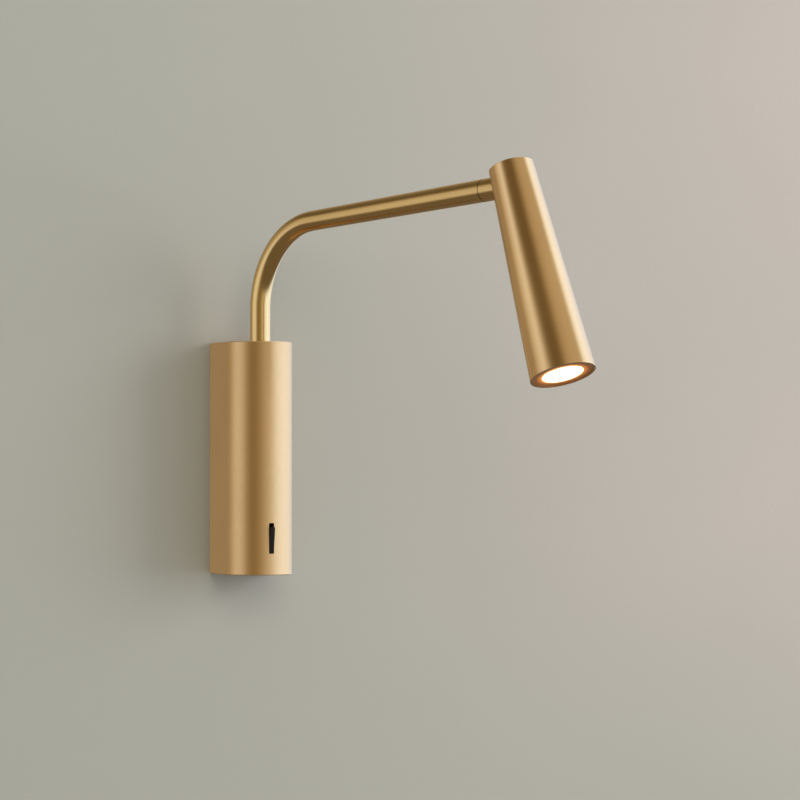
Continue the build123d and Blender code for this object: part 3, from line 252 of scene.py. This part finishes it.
def board(name, colour, track):
    """A coated circuit board: dull tracks under the coating, and its pads."""
    tree = Tree(name)
    brick = tree.add(
        "TexBrick",
        {
            "Vector": tree.where(), "Scale": 260.0, "Mortar Size": 0.035, "Color1": (0, 0, 0, 1),
            "Color2": (0.35, 0.35, 0.35, 1), "Mortar": (1, 1, 1, 1),
        },
    )
    cells = tree.add("TexVoronoi", {"Vector": tree.where(), "Scale": 420.0})
    pads = tree.remap(cells.outputs["Distance"], 0.14, 0.2, 1.0, 0.0)
    tone = tree.blend(brick.outputs["Color"], colour, track)
    tone = tree.blend(pads, tone, scaled(track, 1.3))
    fine = tree.noise(2200.0, 2.0)
    tree.set(Base_Color=tone, Roughness=tree.remap(fine, 0.2, 0.8, 0.3, 0.42))
    tree.set(Normal=tree.bump(brick.outputs["Fac"], SLIGHT, 0.5))
    return tree.material


def wound(name, colour, axis, pitch):
    """Tape or wire wound round a core."""
    tree = Tree(name)
    along = tree.vector("DOT_PRODUCT", tree.where(), axis)
    wave = tree.math("SINE", tree.math("MULTIPLY", along, 2 * math.pi / pitch))
    laps = tree.remap(wave, -1.0, 1.0)
    fine = tree.noise(1500.0, 3.0)
    tone = tree.blend(laps, scaled(colour, 0.72), scaled(colour, 1.08))
    tone = tree.blend(tree.remap(fine, 0.5, 0.8, 0.0, 0.3), tone, scaled(colour, 0.6))
    tree.set(Base_Color=tone, Roughness=tree.remap(fine, 0.2, 0.8, 0.34, 0.5))
    tree.set(Normal=tree.bump(laps, LAPS, 0.6))
    return tree.material


def sheath(name, colour, roughness=0.55):
    """A soft cable sheath: slightly uneven, with scuffs."""
    tree = Tree(name)
    slow = tree.clouds(110.0, 2.0)
    fine = tree.noise(1900.0, 3.0)
    tone = tree.blend(slow, scaled(colour, 0.88), scaled(colour, 1.06))
    tone = tree.blend(tree.remap(fine, 0.58, 0.8, 0.0, 0.4), tone, scaled(colour, 0.7))
    tree.set(Base_Color=tone, Roughness=tree.remap(fine, 0.2, 0.8, roughness - 0.08, roughness + 0.08))
    tree.set(Normal=tree.bump(fine, SLIGHT, 0.5))
    return tree.material


def lit_lens(name):
    """Frosted glass with the light on behind it: white, and warmer in a thin rim."""
    tree = Tree(name)
    radius, _ = tree.off_axis(lens_middle, head_axis)
    rim = tree.remap(radius, LENS_CLEAR, LENS_RIM)
    frost = tree.noise(2400.0, 3.0)
    tone = tree.blend(rim, (0.94, 0.93, 0.90), (0.90, 0.80, 0.66))
    tone = tree.blend(tree.remap(frost, 0.55, 0.8, 0.0, 0.2), tone, (0.80, 0.79, 0.76))
    glow = tree.blend(rim, (1.0, 0.90, 0.76), (1.0, 0.58, 0.24))
    tree.set(Base_Color=tone, Roughness=tree.remap(frost, 0.2, 0.8, 0.42, 0.55))
    tree.set(Transmission_Weight=0.25, Emission_Color=glow, Emission_Strength=LENS_GLOW)
    tree.set(Normal=tree.bump(frost, FINE, 0.4))
    return tree.material


def lit_chip(name):
    """Yellow phosphor over the light source, lit."""
    tree = Tree(name)
    dots = tree.add("TexVoronoi", {"Vector": tree.where(), "Scale": 900.0})
    grain = tree.remap(dots.outputs["Distance"], 0.1, 0.6)
    tone = tree.blend(grain, (0.93, 0.80, 0.30), (0.82, 0.66, 0.20))
    glow = tree.blend(grain, (1.0, 0.86, 0.55), (1.0, 0.72, 0.36))
    tree.set(Base_Color=tone, Roughness=0.6, Emission_Color=glow, Emission_Strength=CHIP_GLOW)
    tree.set(Normal=tree.bump(grain, PHOSPHOR, 0.5))
    return tree.material


def bezel_brass_painted_glow(name):
    """The ring round the lens: brass with the lens's light painted on, as a painted orange glow in its
    tone and emission that fades to darker brass towards its outer edge.
    """
    tree = Tree(name)
    radius, _ = tree.off_axis(lens_middle, head_axis)
    fine = tree.noise(2600.0, 3.0)
    # Painted light: tone and emission are brightest next to the lens and fade to darker brass outward.
    painted_glow_fade = tree.remap(radius, BEZEL_PAINTED_GLOW_INNER, BEZEL_PAINTED_GLOW_OUTER)
    tone = tree.blend(painted_glow_fade, (0.85, 0.42, 0.13), (0.50, 0.25, 0.10))
    tone = tree.blend(tree.remap(fine, 0.5, 0.8, 0.0, 0.2), tone, (0.55, 0.30, 0.12))
    glow = tree.blend(painted_glow_fade, (0.85, 0.27, 0.06), (0.12, 0.045, 0.015))
    tree.set(Base_Color=tone, Metallic=1.0, Roughness=tree.remap(fine, 0.2, 0.8, 0.30, 0.42))
    tree.set(Emission_Color=glow, Emission_Strength=BEZEL_PAINTED_GLOW)
    tree.set(Normal=tree.bump(fine, FINE, 0.4))
    return tree.material


def dress(names, material):
    """Give the named nodes this material alone."""
    for name in names.split():
        slots = nodes[name].data.materials
        slots.clear()
        slots.append(material)


# Finishes. A stretch below 1 draws the grain out along that axis.
upright = (1.0, 1.0, 0.08)
dress("housing_shell", brass("housing_brass", BRASS, 0.39, upright, 2600.0))
dress("housing_top_plate housing_bottom_plate", brass("plate_brass", BRASS, 0.35, (0.1, 1, 1), 2600.0))
dress("arm_tube knuckle", brass("tube_brass", TUBE_BRASS, 0.17, (1, 1, 1), 3000.0, 0.7))
dress("cone_shell top_cap", brass("cone_brass", BRASS, 0.22, (1, 1, 1), 2800.0))
dress("front_bezel", bezel_brass_painted_glow("bezel_brass_painted_glow"))

# Turned faces: a point on the axis, the axis, and the pitch of the tool's rings in metres.
head_turned = (pivot, head_axis, 0.0006)
cap_turned = (cap_middle, head_axis, 0.0004)
riser_turned = (Vector((0, joints["arm_swivel"]["pos_m"][1], 0)), (0, 0, 1), 0.0005)
dress("cap_screws", metal("cap_screw_brass", (0.72, 0.46, 0.20), 0.30, rings=cap_turned))
dress("fixing_screw earth_screw earth_washer", metal("turned_brass", TURNED_BRASS, 0.28))
dress("swivel_nipple lock_nuts", metal("nipple_brass", TURNED_BRASS, 0.3, rings=riser_turned))
dress("switch_terminals", metal("blade_brass", (0.80, 0.60, 0.30), 0.25, 2400.0, (1, 0.1, 1)))
zinc = metal("zinc_steel", (0.60, 0.62, 0.64), 0.36, 1500.0, (1, 1, 0.1))
dress("wall_bracket component_carrier", zinc)
bright = metal("screw_steel", (0.62, 0.63, 0.65), 0.28)
dress("locating_pin carrier_screws driver_screws terminal_screws holder_screws", bright)
dress("switch_pivot_pin stop_pin pivot_pin board_screws", bright)
dress("stop_collar", metal("collar_steel", (0.58, 0.59, 0.61), 0.32, rings=riser_turned))
dress("spin_nut", metal("nut_steel", (0.58, 0.59, 0.61), 0.32))
spring = metal("spring_steel", (0.42, 0.43, 0.46), 0.24, 2200.0)
dress("spring_washer spin_friction_washer spin_spring_washer", spring)
dress("heat_sink", metal("sink_aluminium", (0.74, 0.75, 0.76), 0.38, rings=head_turned))
dress("pivot_block", metal("block_aluminium", (0.72, 0.73, 0.74), 0.34, 1700.0))

dress("driver_case driver_cover", moulded("case_plastic", (0.80, 0.79, 0.76), 0.5, 1400.0))
dress("terminal_block", moulded("terminal_plastic", (0.82, 0.81, 0.78), 0.42, 2000.0))
dress("switch_body", moulded("switch_plastic", (0.030, 0.029, 0.028), 0.42))
dress("switch_rocker", moulded("rocker_plastic", (0.010, 0.007, 0.005), 0.5, 3000.0, FINE, sheen=0.2))
dress("thrust_washer seam_washer", moulded("washer_plastic", (0.030, 0.026, 0.022), 0.5))
nylon = moulded("nylon", (0.76, 0.73, 0.64), 0.45, 1800.0, FINE, 0.05, 0.15)
dress("swivel_bush friction_washer arm_end_bush tilt_washers switch_holder", nylon)
dress("cable_grommet lens_gasket", moulded("rubber", (0.032, 0.031, 0.030), 0.68, 1600.0, CLEAR))
dress("driver_capacitor driver_chokes", wound("sleeve_dark", (0.055, 0.055, 0.07), (0, 0, 1), 0.0022))
dress("driver_transformer", wound("tape_yellow", (0.72, 0.58, 0.12), (0, 0, 1), 0.0014))
dress("driver_board", board("board_green", (0.05, 0.20, 0.09), (0.10, 0.34, 0.16)))
dress("led_board", board("board_white", (0.84, 0.84, 0.81), (0.72, 0.72, 0.68)))
dress("arm_lead driver_lead knuckle_lead head_lead", sheath("sheath_white", (0.74, 0.73, 0.70)))
dress("switch_cores", sheath("core_brown", (0.20, 0.085, 0.04), 0.45))
dress("reflector", moulded("reflector_white", (0.88, 0.88, 0.86), 0.25, 1500.0, FAINT, 0.03))
dress("lens", lit_lens("frosted_lens"))
dress("led_emitter", lit_chip("lit_phosphor"))

for name, item in nodes.items():
    assert len(item.data.materials) == 1, name


# Stage: the wall behind the lamp, and a pale floor


def plane(name, loops, material):
    """A stage piece with one face for each loop of corners."""
    mesh = bpy.data.meshes.new(name)
    made = bmesh.new()
    for loop in loops:
        made.faces.new([made.verts.new(corner) for corner in loop])
    bmesh.ops.remove_doubles(made, verts=made.verts, dist=1e-5)
    made.to_mesh(mesh)
    made.free()
    mesh.materials.append(material)
    item = bpy.data.objects.new(name, mesh)
    bpy.context.scene.collection.objects.link(item)
    return item


def plaster(name, colour, painted_light_colour):
    """Painted plaster, with painted light making it brighter and pinker at the upper right, and clear
    from behind.
    """
    tree = Tree(name)
    place = tree.add("SeparateXYZ", {"Vector": tree.where()})
    # Painted light: the wall turns brighter and pinker towards the upper right, fading out lower down.
    across = tree.remap(place.outputs["X"], -0.1, 0.5)
    across = tree.math("MULTIPLY", across, tree.remap(place.outputs["Z"], -0.26, -0.04))
    cloud = tree.clouds(3.0)
    fine = tree.noise(700.0, 4.0, (1, 1, 1), 0.6)
    tone = tree.blend(across, colour, painted_light_colour)
    tone = tree.blend(tree.remap(cloud, 0.0, 1.0, 0.0, 0.3), tone, scaled(colour, 0.97))
    tone = tree.blend(tree.remap(fine, 0.3, 0.7, 0.0, 0.12), tone, scaled(colour, 0.94))
    tree.set(Base_Color=tone, Roughness=0.85, Specular_IOR_Level=0.2)
    tree.set(Normal=tree.bump(fine, SLIGHT, 0.3))
    clear = tree.add("BsdfTransparent")
    behind = tree.add("NewGeometry").outputs["Backfacing"]
    both = tree.add("MixShader", {0: behind})
    tree.links.new(tree.shader.outputs[0], both.inputs[1])
    tree.links.new(clear.outputs[0], both.inputs[2])
    tree.links.new(both.outputs[0], tree.output.inputs["Surface"])
    return tree.material


def ring_faces(outer, inner, depth):
    """Four faces that fill the space between two upright rectangles, facing -Y."""
    (x0, z0, x1, z1), (a0, c0, a1, c1) = outer, inner
    out = [(x0, depth, z0), (x1, depth, z0), (x1, depth, z1), (x0, depth, z1)]
    ins = [(a0, depth, c0), (a1, depth, c0), (a1, depth, c1), (a0, depth, c1)]
    return [
        (out[i], out[(i + 1) % 4], ins[(i + 1) % 4], ins[i])
        for i in range(4)
    ]


# The wall has a hole behind the housing, so that the lamp's back can be seen.
hole = (
    body_low.x + HOLE_EDGE, body_low.z + HOLE_EDGE,
    body_high.x - HOLE_EDGE, body_high.z - HOLE_EDGE,
)
wall = plane(
    "wall",
    ring_faces((-WALL_REACH, FLOOR_LEVEL, WALL_REACH, WALL_REACH), hole, WALL_DEPTH),
    plaster("wall_paint", WALL_COLOUR, WALL_PAINTED_LIGHT_RIGHT),
)
wall.visible_glossy = False
floor_tree = Tree("floor_paint")
floor_fine = floor_tree.noise(300.0, 3.0)
floor_tree.set(
    Base_Color=floor_tree.blend(floor_fine, FLOOR_COLOUR, scaled(FLOOR_COLOUR, 0.95)), Roughness=0.8
)
floor_loop = [
    (-WALL_REACH, FLOOR_FRONT, FLOOR_LEVEL), (WALL_REACH, FLOOR_FRONT, FLOOR_LEVEL),
    (WALL_REACH, WALL_REACH, FLOOR_LEVEL), (-WALL_REACH, WALL_REACH, FLOOR_LEVEL),
]
floor = plane("floor", [floor_loop], floor_tree.material)
floor.visible_glossy = False


# Light: a soft room whose brightness depends on the direction, and two large soft lamps

world = bpy.data.worlds.new("studio")
bpy.context.scene.world = world
world.use_nodes = True
sky = Tree("studio", world.node_tree)
facing = sky.add("TexCoord").outputs["Generated"]
parts = sky.add("SeparateXYZ", {"Vector": facing})
left = sky.math("MULTIPLY", parts.outputs["X"], -1.0)
ahead = sky.math("MULTIPLY", parts.outputs["Y"], -1.0)
turn = sky.math("ARCTAN2", left, ahead)
turn = sky.remap(turn, -math.pi, math.pi, smooth=False)
height = parts.outputs["Z"]


def room(levels):
    """Brightness by heading in degrees: 0 is straight out of the wall, and + is to the left."""
    ramp = sky.add("ValToRGB", {"Fac": turn})
    stops = ramp.color_ramp.elements
    for number, (heading, level) in enumerate(levels):
        place = (heading + 180) / 360
        stop = stops[number] if number < 2 else stops.new(place)
        stop.position = place
        # The dim parts of the room are warm, and its large bright side is slightly cool.
        share = min(1.0, max(0.0, level - DIM_LEVEL))
        green = 0.82 + 0.44 * share**1.2
        blue = 0.50 + 1.25 * share**1.4
        stop.color = (level, level * green, level * blue, 1.0)
    return ramp.outputs["Color"]


eye_level = room((
    (-180, 0.28), (-158, 0.48), (-125, 0.90), (-95, 1.18), (-70, 1.27), (-46, 1.20), (-32, 0.97),
    (-15, 0.73), (5, 0.54), (20, 0.36), (36, 0.25), (53, 0.27), (65, 0.47), (77, 0.80), (102, 0.88),
    (120, 0.66), (133, 0.40), (156, 0.40), (168, 0.29), (180, 0.28),
))
overhead = room((
    (-180, 0.28), (-158, 0.48), (-125, 1.00), (-95, 1.22), (-76, 1.22), (-66, 1.00), (-57, 0.56),
    (-20, 0.57), (5, 0.50), (22, 0.34), (36, 0.18), (81, 0.17), (89, 0.40), (96, 1.00), (106, 1.12),
    (115, 0.75), (124, 0.26), (136, 0.13), (160, 0.18), (180, 0.28),
))
glow = sky.blend(sky.remap(height, 0.25, 0.55), eye_level, overhead)
glow = sky.blend(sky.remap(height, 0.85, 0.97), glow, ROOM_OVERHEAD)
glow = sky.blend(sky.remap(height, -0.2, -0.45), glow, ROOM_BELOW)
paths = sky.add("LightPath")
shown = sky.blend(paths.outputs["Is Camera Ray"], glow, ROOM_SEEN)
background = next(n for n in sky.nodes if n.type == "BACKGROUND")
sky.put(shown, background.inputs["Color"])
background.inputs["Strength"].default_value = 1.0


def soft_lamp(name, place, size, watts, colour, aim=(0, -0.05, 0.02)):
    """A large lamp that lights the scene and isn't seen in it, nor in the metal."""
    light = bpy.data.lights.new(name, "AREA")
    light.shape = "RECTANGLE"
    light.size, light.size_y = size
    light.energy = watts
    light.color = colour
    item = bpy.data.objects.new(name, light)
    item.location = place
    item.rotation_euler = (Vector(aim) - Vector(place)).to_track_quat("-Z", "Y").to_euler()
    item.visible_camera = False
    item.visible_glossy = False
    bpy.context.scene.collection.objects.link(item)


soft_lamp("key", (1.80, -1.05, 0.35), (1.1, 1.2), 21.0, LAMP_WHITE)
soft_lamp("front", (-0.4, -2.2, 1.0), (1.6, 1.2), 14.5, LAMP_WARM_WHITE)


# Camera, at the photo's angle

camera = bpy.data.cameras.new("camera")
camera.sensor_width = CAMERA_SENSOR
camera.lens = CAMERA_LENS
camera.clip_start = CAMERA_NEAR
camera.clip_end = CAMERA_FAR
shot = bpy.data.objects.new("camera", camera)
shot.location = CAMERA_PLACE
shot.rotation_euler = (math.radians(90 + CAMERA_RISE), 0.0, math.radians(CAMERA_TURN))
bpy.context.scene.collection.objects.link(shot)
bpy.context.scene.camera = shot
bpy.context.scene.view_settings.view_transform = "Standard"
